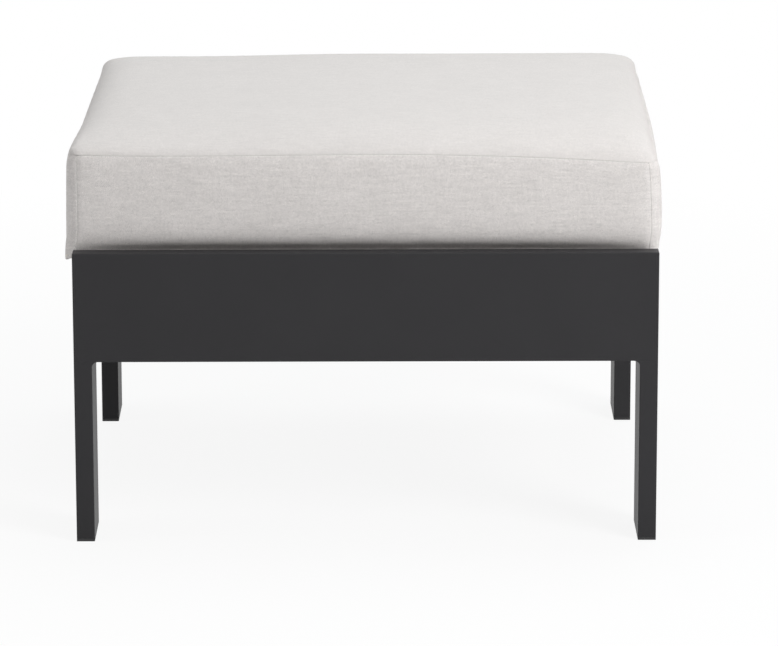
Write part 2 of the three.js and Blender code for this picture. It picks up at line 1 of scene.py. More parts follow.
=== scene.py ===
"""Outdoor ottoman footstool: a powder-coated flat-tube frame with a slatted deck, and a loose box
cushion in a zipped, heathered fabric cover. Metres, +X to the right, +Y to the back, +Z up."""

import json
import math

import bpy
import numpy as np
from mathutils import Matrix, Vector, noise
from mathutils.bvhtree import BVHTree


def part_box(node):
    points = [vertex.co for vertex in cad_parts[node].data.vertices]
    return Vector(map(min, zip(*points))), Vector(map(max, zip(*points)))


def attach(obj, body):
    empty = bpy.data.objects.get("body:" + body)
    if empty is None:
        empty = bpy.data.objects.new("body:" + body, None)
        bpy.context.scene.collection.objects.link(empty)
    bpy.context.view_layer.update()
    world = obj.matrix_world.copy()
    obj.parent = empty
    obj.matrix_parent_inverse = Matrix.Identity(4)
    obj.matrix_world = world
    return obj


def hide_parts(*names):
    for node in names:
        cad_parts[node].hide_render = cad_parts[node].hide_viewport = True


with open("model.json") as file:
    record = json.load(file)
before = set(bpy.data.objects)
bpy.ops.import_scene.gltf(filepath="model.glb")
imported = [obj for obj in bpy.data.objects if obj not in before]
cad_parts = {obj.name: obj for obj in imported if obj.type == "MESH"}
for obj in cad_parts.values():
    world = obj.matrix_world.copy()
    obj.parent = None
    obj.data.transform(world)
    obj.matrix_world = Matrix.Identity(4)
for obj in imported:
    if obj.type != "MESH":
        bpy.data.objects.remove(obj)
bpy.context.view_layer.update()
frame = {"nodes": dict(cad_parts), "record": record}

MM = 0.001

# Camera: a long lens, a little above the cushion and almost straight in front
CAMERA_PLACE = Vector((0.0028, -5.2023, 1.45965))
CAMERA_YAW = math.radians(-0.2623)
CAMERA_PITCH = math.radians(13.8726)
CAMERA_ROLL = math.radians(-0.0809)
CAMERA_LENS = 214.09

# Cushion: its outline, and its seams with their heights from its base
SIDE_SWELL = 1.5 * MM
CORNER_R = 20 * MM
UPRIGHT_SEAM_X = 312 * MM
SEAM_MID_H = 117 * MM
SEAM_CORNER_H = 108 * MM
BASE_SEAM_LIFT = 0.5 * MM
DRAW_IN_TOP = 4 * MM
DRAW_IN_BASE_SIDES = 8 * MM
DRAW_IN_BASE_ENDS = 3 * MM
CROWN_POWER_TO_ENDS = 9
CROWN_POWER_TO_SIDES = 24
BAND_SHARE = 0.16
COVER_T = 1.2 * MM
CORE_INSET = 4.5 * MM

# Cushion: how far apart the grid's lines lie, in general and beside the upright seams, and the
# first line past each corner
CELL = 6.8 * MM
SEAM_CELL = 2.7 * MM
PAST_CORNER = 20 * MM

# Cushion: how the cover turns in towards its seams, and what the thread does to it there
SEAM_ROLL_TOP = 3.6 * MM
SEAM_ROLL_BASE = 3 * MM
SEAM_ROLL_R = 14 * MM
SEAM_ROLL_CORNER_LOSS = 0.85
SEAM_ROLL_CORNER_POWER = 8
SEAM_GROOVE = 0.1 * MM
UPRIGHT_GROOVE = 0.02 * MM
SEAM_GROOVE_W = 1.5 * MM
UPRIGHT_ROLL = 0.35 * MM
UPRIGHT_ROLL_R = 8 * MM
GATHER_DEPTH = 0.4 * MM
GATHER_AT = 5 * MM
GATHERS_PER_METRE = 85
CREASES_PER_METRE = 22
GROOVE_FREE = 0.4
GROOVE_FADE = 30 * MM

# Small tucks that the sewing leaves at the front corners: middle, half width, half height and
# depth, with one reach from front to rear for all of them
TUCK_REACH_MM = 12
TUCKS_MM = (
    ((-317, -268, 425), 5, 3, 0.9),
    ((-312, -272, 412), 4, 3, 0.7),
    ((308, -272, 409), 5, 2.5, 0.9),
    ((306, -272, 378), 6, 2.5, 0.4),
    ((307, -272, 371), 5, 2.5, 0.45),
    ((306, -272, 364), 6, 2.5, 0.35),
)

# Cushion: how its filling has settled. The left half of the crown lies lower, the rear corners
# are full and the front left one half so, the left side leans, its front end sags past the
# frame, the right side bulges between its seams, and the front rolls under to the deck. The
# upper part starts a little low, because the simulation lifts it.
CROWN_DIP_LEFT = 3.2 * MM
SWELL_ROOM = 2.2 * MM
LEFT_REAR_IN = 4.2 * MM
LEFT_FRONT_OUT = 3 * MM
LEFT_FRONT_TOP_OUT = 3 * MM
LEFT_BASE_OUT = 3.5 * MM
LEFT_SAG = 3 * MM
RIGHT_FRONT_IN = 2.5 * MM
RIGHT_REAR_OUT = 4.5 * MM
RIGHT_BASE_IN = 3 * MM
RIGHT_BULGE = 0.6 * MM
CORNER_FULLNESS = (((-1, -1), 0.3), ((1, 1), 0.53), ((-1, 1), 0.5))
CORNER_FULLNESS_POWER = 4
FRONT_LEFT_SEAM_RISE = 10 * MM
BELLY_TOP = 0.78
UNDER_ROLL_H_MM = (0, 2.5, 5, 7, 8.5, 10.5, 12, 14, 16, 19, 22, 26, 40, 60, 80, 100)
UNDER_ROLL_IN_MM = (4.5, 6.1, 8.3, 10.2, 11, 9.9, 7.4, 4.3, 2.1, 0.3, -0.9, -1.5, -1.3, -0.7, -0.2, 0)
UNDER_ROLL_REAR_SHARE = 0.15
UNDER_ROLL_CORNER_POWER = 6

# Cushion: where each of these sets in and where it is whole, as shares of the way from the
# middle to a side or an end, or of the way up. The last is a distance in from the left side.
SIDE_RANGE = (0.3, 1)
DIP_RANGE = (0, 0.7)
END_RANGE = (0.9, 1)
SAG_RANGE = (-0.6, 0.8)
TOP_LEAN_RANGE = (-0.2, 1)
RIGHT_LEAN_RANGE = (-1, 0)
LOW_RANGE = (0, 0.25)
HIGH_RANGE = (0.2, 0.8)
TOP_SEAM_RANGE = (0.76, 0.92)
CROWN_RANGE = (0.8, 1)
SAG_EDGE = (7 * MM, 2 * MM)

# Cushion: simulation of the cover over its filling
SIM_STEPS = 20
SIM_QUALITY = 5
SIM_CAP = 5 * MM
FILL_PRESSURE = 4
COVER_EASE = 0.0006
COVER_BENDING = 0.6
HOLD_STIFFNESS = 1.0
HOLD_FREE = 0.15
HOLD_BASE = 1.0
HOLD_FADE = 12 * MM
ZIP_HOLD = 22 * MM

# Zip slot in the rear boxing
SLOT_HALF_L = 250.3 * MM
SLOT_H = 9 * MM
SLOT_LOW_SHARE = 0.455
SLOT_HIGH_SHARE = 0.54

# Zip: the chain's teeth, and the rows of stitches that hold its tapes
TOOTH_PITCH = 2.8 * MM
TOOTH_OUTLINE_MM = ((-2.9, 0.5), (-2.7, 0.68), (-1.1, 0.68), (-0.65, 0.5), (0, 0.58), (0.5, 0.68),
                    (0.8, 0.6), (0.95, 0.4))
TOOTH_MIDDLE_MM = -1
TOOTH_CROWN_SHARES = (0.86, 0.65)
TOOTH_BEVEL = 0.5 * MM
STOP_L = 3 * MM
STOP_PROUD = 0.9 * MM
STITCH_PITCH = 4 * MM
STITCH_L = 3.3 * MM
STITCH_OUT = 2.6 * MM
STITCH_SHARES = (-1, -0.8, -0.4, 0, 0.4, 0.8, 1)
THREAD_R = 0.24 * MM
THREAD_RISE = 0.9
THREAD_DIVE = 2.6
THREAD_DIVE_POWER = 6
THREAD_SIDES = 6
METAL_ROUNDING = 0.22 * MM
METAL_ROUNDING_FROM = math.radians(40)

# Rivet: from the mandrel's dimple in its domed head to the bulb inside the slat
RIVET_HEAD_H = 1.6 * MM
RIVET_TAIL_H = 4 * MM
RIVET_HEAD_MM = ((0, -1.15), (0.8, -1.15), (0.95, -1.5), (1.3, -1.6), (2.2, -1.5), (3.2, -1.15),
                 (4.1, -0.7), (4.65, -0.35), (4.75, -0.12), (4.7, 0), (2.4, 0))
RIVET_TAIL_MM = ((2.4, 0), (3.5, 0.05), (3.6, 1.2), (3.3, 2.8), (2.5, 3.8), (0.8, 4), (0, 4))
RIVET_AXIS_R = 0.02 * MM
ROUND_STEPS = 28

# Yarn: how far the noise of one lies from the next one's, and how long and strong the short
# streaks are beside the long ones
YARN_STEP = 7.31
SHORT_STREAK_L = 0.12
SHORT_STREAK_WEIGHT = 1.4

# Colours
COAT_COLOUR = (0.0338, 0.033, 0.035, 1)
GLIDE_COLOUR = (0.02, 0.02, 0.021, 1)
RIVET_COLOUR = (0.06, 0.06, 0.063, 1)
FABRIC_COLOUR = (0.7, 0.668, 0.65, 1)
THREAD_COLOUR = (0.72, 0.69, 0.67, 1)
FOAM_COLOUR = (0.86, 0.82, 0.7, 1)
TAPE_COLOUR = (0.6, 0.57, 0.55, 1)
TOOTH_COLOUR = (0.55, 0.53, 0.51, 1)
ZIP_COLOUR = (0.45, 0.44, 0.43, 1)

# Stage: a floor that turns from its own shade to plain white away from the object
FLOOR_HALF = 14
FLOOR_DROP = 0.2 * MM
FLOOR_GREY = 0.85
FLOOR_WHITE_SHARES = (0.9, 1.0)
FLOOR_WHITE_PLACES = (0.5, 1.6)
WORLD_LIT = 0.22

# Lamps: name, place, target, size across, power and colour
LAMPS = (
    ("key", (1.9, -1.85, 1.9), (0, 0, 0.3), 1.4, 66, (1, 1, 1)),
    ("top", (0.3, 0.8, 2.75), (0, 0, 0.4), 2.0, 36, (0.94, 0.985, 1)),
    ("left", (-2.4, -0.6, 1.3), (0, 0, 0.3), 1.4, 15, (1, 1, 1)),
)

# Places and sizes that follow from the frame and the values above
HALF_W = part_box("cushion_right_boxing")[1].x - SIDE_SWELL
HALF_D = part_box("cushion_zip_panel")[1].y
BASE_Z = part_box("cushion_bottom_panel")[0].z
CROWN_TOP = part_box("cushion_top_panel")[1].z
ZIP_Z = (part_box("zip_chain")[0].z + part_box("zip_chain")[1].z) / 2
BASE_SEAM_Z = BASE_Z + BASE_SEAM_LIFT
BOXING_H = (SEAM_MID_H + SEAM_CORNER_H) / 2 - BASE_SEAM_LIFT
ARC = CORNER_R * math.pi / 4
SEAM_FROM_CORNER = ARC - CORNER_R * math.asin((UPRIGHT_SEAM_X - HALF_W + CORNER_R) / CORNER_R)


# Camera

def make_camera():
    camera = bpy.data.objects.new("camera", bpy.data.cameras.new("camera"))
    bpy.context.scene.collection.objects.link(camera)
    turn = Matrix.Rotation(CAMERA_YAW, 4, "Z")
    tip = Matrix.Rotation(math.pi / 2 - CAMERA_PITCH, 4, "X")
    roll = Matrix.Rotation(CAMERA_ROLL, 4, "Z")
    camera.matrix_world = Matrix.Translation(CAMERA_PLACE) @ turn @ tip @ roll
    camera.data.lens = CAMERA_LENS
    camera.data.sensor_width = 36
    camera.data.sensor_fit = "HORIZONTAL"
    camera.data.clip_end = 100
    bpy.context.scene.camera = camera


make_camera()


# Shader nodes

def add(tree, kind, sockets=None, **settings):
    """A new node. Its sockets take a value, or another node's output."""
    made = tree.nodes.new(kind)
    for name, value in settings.items():
        setattr(made, name, value)
    for name, value in (sockets or {}).items():
        if isinstance(value, bpy.types.NodeSocket):
            tree.links.new(value, made.inputs[name])
        else:
            made.inputs[name].default_value = value
    return made


def calc(tree, operation, *terms):
    """The result of a math node on values or outputs."""
    return add(tree, "ShaderNodeMath", dict(enumerate(terms)), operation=operation).outputs[0]


def spread(tree, value, low, high, from_low=0.0, from_high=1.0):
    """value, moved from one range to another."""
    sockets = {"Value": value, "From Min": from_low, "From Max": from_high,
               "To Min": low, "To Max": high}
    return add(tree, "ShaderNodeMapRange", sockets).outputs["Result"]


def blend(tree, factor, first, second):
    """A value between two others. A mix node's values are its sockets 2 and 3."""
    return add(tree, "ShaderNodeMix", {"Factor": factor, 2: first, 3: second}).outputs[0]


def texture_noise(tree, vector, scale, detail=2.0, roughness=0.5):
    sockets = {"Vector": vector, "Scale": scale, "Detail": detail, "Roughness": roughness}
    return add(tree, "ShaderNodeTexNoise", sockets).outputs[0]


def paint(tree, shader, colour, factor):
    """Gives the shader a colour times a factor that varies. A mix node's colours are its sockets
    6 and 7, and its output 2."""
    grey = add(tree, "ShaderNodeCombineColor", {"Red": factor, "Green": factor, "Blue": factor})
    sockets = {"Factor": 1.0, 6: colour, 7: grey.outputs[0]}
    mix = add(tree, "ShaderNodeMix", sockets, data_type="RGBA", blend_type="MULTIPLY")
    tree.links.new(mix.outputs[2], shader.inputs["Base Color"])


def emboss(tree, shader, height, strength, distance, normal=None):
    """Gives the shader a bump, on top of another normal where there is one."""
    sockets = {"Height": height, "Strength": strength, "Distance": distance}
    if normal is not None:
        sockets["Normal"] = normal
    bump = add(tree, "ShaderNodeBump", sockets)
    tree.links.new(bump.outputs[0], shader.inputs["Normal"])


def new_material(name, **sockets):
    """A material with one Principled shader, whose plain values are set on its sockets."""
    material = bpy.data.materials.new(name)
    material.use_nodes = True
    shader = material.node_tree.nodes["Principled BSDF"]
    for label, value in sockets.items():
        shader.inputs[label.replace("_", " ")].default_value = value
    return material, material.node_tree, shader


def object_place(tree):
    return add(tree, "ShaderNodeTexCoord").outputs["Object"]


def powder_coat():
    """Charcoal powder coat: a fine orange peel, with edges rubbed a little smoother and lightened in
    colour as a painted highlight.
    """
    material, tree, shader = new_material("powder_coat", IOR=1.45)
    place = object_place(tree)
    peel = texture_noise(tree, place, scale=900.0, detail=3.0, roughness=0.6)
    cloud = texture_noise(tree, place, scale=14.0, detail=3.0)
    rounded = add(tree, "ShaderNodeBevel", {"Radius": 1.1 * MM}, samples=6).outputs[0]
    flat = add(tree, "ShaderNodeNewGeometry").outputs["True Normal"]
    facing = add(tree, "ShaderNodeVectorMath", {0: rounded, 1: flat},
                 operation="DOT_PRODUCT").outputs["Value"]
    edge = spread(tree, facing, 1.0, 0.0, 0.8, 1.0)
    # Painted highlight: the colour is lightened along the rounded edges; the lower roughness there is
    # the coat rubbed smoother.
    edge_highlight = calc(tree, "MULTIPLY", edge, 0.25)
    smoothed = calc(tree, "MULTIPLY", edge, 0.08)
    paint(tree, shader, COAT_COLOUR, calc(tree, "ADD", spread(tree, cloud, 0.94, 1.06), edge_highlight))
    rough = calc(tree, "SUBTRACT", spread(tree, cloud, 0.4, 0.5), smoothed)
    tree.links.new(rough, shader.inputs["Roughness"])
    shader.inputs["Specular IOR Level"].default_value = 0.16
    emboss(tree, shader, peel, strength=0.35, distance=0.06 * MM, normal=rounded)
    return material


def moulded_plastic(name, colour, grain):
    """Matt moulded plastic with a fine spark-eroded grain."""
    material, tree, shader = new_material(name, Roughness=0.6)
    place = object_place(tree)
    speck = texture_noise(tree, place, scale=grain, roughness=0.7)
    cloud = texture_noise(tree, place, scale=60.0)
    paint(tree, shader, colour, spread(tree, cloud, 0.85, 1.15))
    emboss(tree, shader, speck, strength=0.4, distance=0.05 * MM)
    return material


def cast_metal(name, colour, metallic, roughness):
    """Small cast or headed metal, with faint tumbling marks."""
    material, tree, shader = new_material(name, Metallic=metallic)
    place = object_place(tree)
    marks = texture_noise(tree, place, scale=1800.0, detail=4.0, roughness=0.6)
    cloud = texture_noise(tree, place, scale=220.0)
    paint(tree, shader, colour, spread(tree, cloud, 0.8, 1.2))
    rough = spread(tree, marks, roughness - 0.08, roughness + 0.1)
    tree.links.new(rough, shader.inputs["Roughness"])
    emboss(tree, shader, marks, strength=0.25, distance=0.04 * MM)
    return material


def streaks(tree, along, line, length, seed):
    """Noise that is drawn out along each line of yarn."""
    sockets = {"X": calc(tree, "DIVIDE", along, length),
               "Y": calc(tree, "MULTIPLY", line, YARN_STEP), "Z": seed}
    place = add(tree, "ShaderNodeCombineXYZ", sockets).outputs[0]
    drawn = texture_noise(tree, place, scale=1.0, detail=2.0, roughness=0.6)
    return calc(tree, "SUBTRACT", drawn, 0.5)


def yarns(tree, along, across, pitch, slub, strength, seed):
    """One set of yarns: how light each is along its length, its rounded section, and its number.
    Short streaks run along single yarns, and long ones along pairs."""
    turns = calc(tree, "DIVIDE", across, pitch)
    yarn = calc(tree, "FLOOR", turns)
    pair = calc(tree, "FLOOR", calc(tree, "DIVIDE", turns, 2.0))
    short = streaks(tree, along, yarn, slub * SHORT_STREAK_L, seed)
    short = calc(tree, "MULTIPLY", short, SHORT_STREAK_WEIGHT)
    long = streaks(tree, along, pair, slub, seed + 5.0)
    light = calc(tree, "MULTIPLY", calc(tree, "ADD", short, long), strength)
    section = calc(tree, "ABSOLUTE", calc(tree, "SINE", calc(tree, "MULTIPLY", turns, math.pi)))
    return light, section, yarn


def panel_axes(tree):
    """The cloth's own coordinates: the place, and its ways across, up and from a seam."""
    weave = add(tree, "ShaderNodeAttribute", attribute_name="weave").outputs["Vector"]
    axes = add(tree, "ShaderNodeSeparateXYZ", {0: weave}).outputs
    return weave, axes[0], axes[1], axes[2]


def tape_axes(tree):
    """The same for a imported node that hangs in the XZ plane, with no seam near it."""
    place = object_place(tree)
    axes = add(tree, "ShaderNodeSeparateXYZ", {0: place}).outputs
    return place, axes[0], axes[2], 1.0


def woven(name, axes_of, colour, pitch, slub, contrast, relief, depth, sheen):
    """Plain weave of heathered, slubbed yarns, laid along the axes that axes_of gives."""
    material, tree, shader = new_material(name, Roughness=0.92)
    weave, across, up, edge = axes_of(tree)
    weft_light, weft_section, weft = yarns(tree, across, up, pitch, slub, strength=1.3, seed=3.0)
    warp_light, warp_section, warp = yarns(tree, up, across, pitch, slub * 0.6, strength=0.6,
                                           seed=11.0)
    over = calc(tree, "PINGPONG", calc(tree, "ADD", weft, warp), 1.0)
    light = blend(tree, over, weft_light, warp_light)
    height = blend(tree, over, weft_section, warp_section)
    cloud = calc(tree, "SUBTRACT", texture_noise(tree, weave, scale=22.0, detail=3.0), 0.5)
    both = calc(tree, "ADD", calc(tree, "MULTIPLY", light, contrast),
                calc(tree, "MULTIPLY", cloud, 0.06))
    # Painted shade: the cloth's colour is darker in the valleys between the yarns.
    crevice_shade = spread(tree, height, 0.9, 1.0, 0.0, 0.7)
    # Darker along the seam lines: partly dirt, and partly painted shade in the seam's groove.
    seam = spread(tree, edge, 0.965, 1.0, 0.0, 0.45 * MM)
    shade = calc(tree, "MULTIPLY", crevice_shade, seam)
    paint(tree, shader, colour, calc(tree, "MULTIPLY", calc(tree, "ADD", both, 1.0), shade))
    thick_and_thin = calc(tree, "ADD", height, calc(tree, "MULTIPLY", light, relief))
    emboss(tree, shader, thick_and_thin, strength=0.5, distance=depth)
    shader.inputs["Specular IOR Level"].default_value = 0.2
    shader.inputs["Sheen Weight"].default_value = sheen
    shader.inputs["Sheen Roughness"].default_value = 0.5
    return material


def spun_thread():
    """Polyester sewing thread, with the fine slanting lines of its twist, as bumps and as painted
    shade in their grooves.
    """
    material, tree, shader = new_material("spun_thread", Roughness=0.7)
    sockets = {"Vector": object_place(tree), "Scale": 1400.0, "Distortion": 0.4}
    lines = add(tree, "ShaderNodeTexWave", sockets, bands_direction="DIAGONAL").outputs[1]
    # Painted shade: the colour is darker in the twist's grooves, where the bump is low.
    paint(tree, shader, THREAD_COLOUR, spread(tree, lines, 0.82, 1.05))
    emboss(tree, shader, lines, strength=0.4, distance=0.05 * MM)
    return material


def open_foam():
    """Open-cell foam: pale, matt and finely pitted, with painted shade darkening the pits."""
    material, tree, shader = new_material("open_foam", Roughness=1.0)
    place = object_place(tree)
    cells = add(tree, "ShaderNodeTexVoronoi", {"Vector": place, "Scale": 900.0}).outputs["Distance"]
    # Painted shade: the colour is darker in the pits, where the bump is low.
    paint(tree, shader, FOAM_COLOUR, spread(tree, cells, 0.75, 1.05))
    emboss(tree, shader, cells, strength=0.6, distance=0.3 * MM)
    return material


coat = powder_coat()
glide_plastic = moulded_plastic("glide_plastic", GLIDE_COLOUR, grain=1500.0)
tooth_plastic = moulded_plastic("tooth_plastic", TOOTH_COLOUR, grain=1200.0)
rivet_metal = cast_metal("rivet_metal", RIVET_COLOUR, metallic=0.3, roughness=0.4)
zip_metal = cast_metal("zip_metal", ZIP_COLOUR, metallic=0.8, roughness=0.36)
boxing_fabric = woven("heathered_weave_boxing", panel_axes, FABRIC_COLOUR, pitch=1.05 * MM,
                      slub=26 * MM, contrast=0.46, relief=1.6, depth=0.22 * MM, sheen=0.12)
panel_fabric = woven("heathered_weave_panels", panel_axes, FABRIC_COLOUR, pitch=1.05 * MM,
                     slub=16 * MM, contrast=0.24, relief=1.6, depth=0.22 * MM, sheen=0.12)
tape_fabric = woven("zip_tape_weave", tape_axes, TAPE_COLOUR, pitch=0.5 * MM,
                    slub=9 * MM, contrast=0.15, relief=0.5, depth=0.1 * MM, sheen=0.0)
thread = spun_thread()
foam = open_foam()


# Meshes

def new_object(name, points, faces, material, body, slot, weave=None):
    """A mesh piece on a body. weave holds a point's place on the cloth and its way from a seam."""
    mesh = bpy.data.meshes.new(name)
    mesh.from_pydata([tuple(p) for p in points], [], [tuple(f) for f in faces])
    if weave is not None:
        attribute = mesh.attributes.new("weave", "FLOAT_VECTOR", "POINT")
        attribute.data.foreach_set("vector", np.asarray(weave, np.float32).ravel())
    mesh.materials.append(material)
    mesh.polygons.foreach_set("use_smooth", [True] * len(mesh.polygons))
    piece = bpy.data.objects.new(name, mesh)
    bpy.context.scene.collection.objects.link(piece)
    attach(piece, body)
    return piece


def stacked(solids):
    """Points and faces of closed solids, each one a stack of rings with a flat cap at both ends."""
    all_points = []
    all_faces = []
    for rings_of_solid in solids:
        start = len(all_points)
        size = len(rings_of_solid[0])
        for ring in rings_of_solid:
            all_points.extend(tuple(p) for p in ring)
        for level in range(len(rings_of_solid) - 1):
            low = start + level * size
            for at in range(size):
                after = (at + 1) % size
                all_faces.append((low + at, low + after, low + size + after, low + size + at))
        all_faces.append(tuple(range(start + size - 1, start - 1, -1)))
        top = start + (len(rings_of_solid) - 1) * size
        all_faces.append(tuple(range(top, top + size)))
    return all_points, all_faces


def soften_edges(piece, degrees=35):
    """Smooth shading, but for edges sharper than this."""
    piece.data.set_sharp_from_angle(angle=math.radians(degrees))


def vertex_normals(points, faces):
    """Unit normals of a mesh of four-cornered faces."""
    corners = points[faces]
    normal = np.cross(corners[:, 2] - corners[:, 0], corners[:, 3] - corners[:, 1])
    total = np.zeros_like(points)
    for corner in range(4):
        np.add.at(total, faces[:, corner], normal)
    return total / np.maximum(np.linalg.norm(total, axis=1, keepdims=True), 1e-12)


def smooth_step(value, low, high):
    share = np.clip((value - low) / (high - low), 0, 1)
    return share * share * (3 - 2 * share)


# Cushion grid: lines across and along the cover, close together at the corners and seams

def spaced(knots, cell):
    """Places from knot to knot, about a cell apart."""
    places = [knots[0]]
    for start, end in zip(knots, knots[1:]):
        steps = max(1, round((end - start) / cell))
        places.extend(start + (end - start) * step / steps for step in range(1, steps + 1))
    return np.array(places)


NEAR_CORNER = (0.0, SEAM_FROM_CORNER / 3, SEAM_FROM_CORNER * 2 / 3, SEAM_FROM_CORNER,
               SEAM_FROM_CORNER + SEAM_CELL, SEAM_FROM_CORNER + 2 * SEAM_CELL, ARC, PAST_CORNER)
SEAM_LINE = NEAR_CORNER.index(SEAM_FROM_CORNER)


def side_lines(straight, extra):
    """Distances along a side, from the middle of one corner's arc to the middle of the next's."""
    total = straight + 2 * ARC
    knots = [*NEAR_CORNER, *extra, total / 2]
    half = spaced(knots, CELL)
    return np.concatenate([half, total - half[-2::-1]])


STRAIGHT_X = 2 * (HALF_W - CORNER_R)
STRAIGHT_Y = 2 * (HALF_D - CORNER_R)
SLOT_LINE = ARC + STRAIGHT_X / 2 - SLOT_HALF_L
LINES_X = side_lines(STRAIGHT_X, [SLOT_LINE])
LINES_Y = side_lines(STRAIGHT_Y, [])
COUNT_X = len(LINES_X) - 1
COUNT_Y = len(LINES_Y) - 1


def side_stations(quarter):
    """The outline's stations on one side: plan point, way out, share along the side."""
    even = quarter % 2 == 0
    lines = LINES_Y if even else LINES_X
    straight = STRAIGHT_Y if even else STRAIGHT_X
    reach = (HALF_W if even else HALF_D) - CORNER_R
    share = np.clip(2 * (lines - ARC) / straight - 1, -1, 1)
    turn = (np.minimum(lines - ARC, 0) + np.maximum(lines - ARC - straight, 0)) / CORNER_R
    outward = np.stack([np.cos(turn), np.sin(turn)], 1)
    point = np.stack([np.full_like(share, reach), share * straight / 2], 1) + CORNER_R * outward
    angle = quarter * math.pi / 2
    rotate = np.array([[math.cos(angle), math.sin(angle)], [-math.sin(angle), math.cos(angle)]])
    return point @ rotate, outward @ rotate, share


SIDES = [side_stations(quarter) for quarter in range(4)]


def side_swell(quarter, row_share):
    """How far the middle of a side stands out at a share of the boxing's height."""
    fall = max(0.0, abs(row_share - 0.5) - BAND_SHARE) / (0.5 - BAND_SHARE)
    is_side = quarter % 2 == 0
    draw_in_base = DRAW_IN_BASE_SIDES if is_side else DRAW_IN_BASE_ENDS
    draw_in = DRAW_IN_TOP if row_share > 0.5 else draw_in_base
    full = SIDE_SWELL if is_side else 0.0
    return full - (full + draw_in) * fall * fall


def seam_roll(row_share, share):
    """How far the cover turns in towards its two seams. Near the base it hardly does so at the
    corners."""
    from_top = (1 - row_share) * BOXING_H
    from_base = row_share * BOXING_H
    top = SEAM_ROLL_TOP * max(0.0, 1 - from_top / SEAM_ROLL_R) ** 2
    base = SEAM_ROLL_BASE * max(0.0, 1 - from_base / SEAM_ROLL_R) ** 2
    return top + base * (1 - SEAM_ROLL_CORNER_LOSS * share ** SEAM_ROLL_CORNER_POWER)


def side_row(quarter, row_share):
    """The plan of one side at a share of the boxing's height."""
    point, outward, share = SIDES[quarter]
    amount = side_swell(quarter, row_share) * (1 - share ** 2) - seam_roll(row_share, share)
    return point + outward * amount[:, None]


def ring_order(rows):
    """One closed row from the four sides, from the front left corner: front, right, rear, left."""
    return np.concatenate([rows[3][:-1], rows[0][:-1], rows[1][:-1], rows[2][:-1]])


def seam_height(across, along):
    """Height of the top seam: it drops towards the corners, and least at the front left one."""
    near_front_left = (1 - across) * (1 - along) / 4
    drop = SEAM_MID_H - SEAM_CORNER_H - FRONT_LEFT_SEAM_RISE * near_front_left ** 2
    return BASE_Z + SEAM_MID_H - drop * (across * along) ** 2


RING_PLACE = ring_order([np.clip(side[0] / (HALF_W - CORNER_R, HALF_D - CORNER_R), -1, 1)
                         for side in SIDES])
RING = len(RING_PLACE)


def row_height(row_share):
    """Heights of a boxing row at each station. Two rows lie at the zip slot's edges, and none
    between them."""
    top = seam_height(RING_PLACE[:, 0], RING_PLACE[:, 1])
    slot_low = ZIP_Z - SLOT_H / 2
    slot_high = ZIP_Z + SLOT_H / 2
    if row_share <= SLOT_LOW_SHARE:
        return BASE_SEAM_Z + (slot_low - BASE_SEAM_Z) * row_share / SLOT_LOW_SHARE * np.ones(RING)
    share = (row_share - SLOT_HIGH_SHARE) / (1 - SLOT_HIGH_SHARE)
    return slot_high + (top - slot_high) * share


# Rows of the boxing from the base seam to the top one, closer together where it turns in
ROW_SHARES = (0, 0.018, 0.037, 0.058, 0.078, 0.101, 0.128, 0.16, 0.2, 0.26, 0.325, 0.39,
              SLOT_LOW_SHARE, SLOT_HIGH_SHARE,
              0.605, 0.67, 0.735, 0.8, 0.86, 0.91, 0.95, 0.978, 1)
ROWS = len(ROW_SHARES) - 1
SLOT_ROW = ROW_SHARES.index(SLOT_LOW_SHARE)


def panel_plan(row_share):
    """Grid points of the top or the base, spanned between the four sides of its seam."""
    front = side_row(3, row_share)
    right = side_row(0, row_share)
    rear = side_row(1, row_share)[::-1]
    left = side_row(2, row_share)[::-1]
    u = (LINES_X / LINES_X[-1])[:, None, None]
    v = (LINES_Y / LINES_Y[-1])[None, :, None]
    spanned = (1 - v) * front[:, None] + v * rear[:, None] + (1 - u) * left[None] + u * right[None]
    corners = ((1 - u) * (1 - v) * front[0] + u * (1 - v) * front[-1]
               + (1 - u) * v * rear[0] + u * v * rear[-1])
    return spanned - corners


def grid_shares():
    """How far out each grid point lies, from -1 to 1 across and along."""
    across = np.clip(2 * (LINES_X - ARC) / STRAIGHT_X - 1, -1, 1)
    along = np.clip(2 * (LINES_Y - ARC) / STRAIGHT_Y - 1, -1, 1)
    return np.meshgrid(across, along, indexing="ij")


def crown_height():
    """Heights of the top's grid points: full in the middle, and down to the seam all round."""
    across, along = grid_shares()
    seam = seam_height(across, along)
    out_x = np.abs(2 * LINES_X / LINES_X[-1] - 1)[:, None]
    out_y = np.abs(2 * LINES_Y / LINES_Y[-1] - 1)[None, :]
    fullness = (1 - out_x ** CROWN_POWER_TO_SIDES) * (1 - out_y ** CROWN_POWER_TO_ENDS)
    slack = np.ones_like(seam)
    for (side, end), full in CORNER_FULLNESS:
        near_corner = np.clip(side * across, 0, 1) * np.clip(end * along, 0, 1)
        slack -= full * near_corner ** CORNER_FULLNESS_POWER
    return seam + (CROWN_TOP - seam) * fullness ** slack


def base_height():
    """Heights of the base's grid points: flat, but for the rim that turns up to its seam."""
    from_x = np.minimum(LINES_X, LINES_X[-1] - LINES_X)[:, None]
    from_y = np.minimum(LINES_Y, LINES_Y[-1] - LINES_Y)[None, :]
    from_seam = np.minimum(from_x, from_y)
    return BASE_Z + BASE_SEAM_LIFT * np.maximum(0, 1 - from_seam / SEAM_ROLL_R) ** 2


def rim_indices():
    """Indices of a panel grid's edge points, in the ring's order."""
    at = np.arange((COUNT_X + 1) * (COUNT_Y + 1)).reshape(COUNT_X + 1, COUNT_Y + 1)
    return np.concatenate([at[:-1, 0], at[-1, :-1], at[:0:-1, -1], at[0, :0:-1]])


GRID = (COUNT_X + 1) * (COUNT_Y + 1)
RIM = rim_indices()
TOP, FRONT, RIGHT, REAR, LEFT, BASE = range(6)


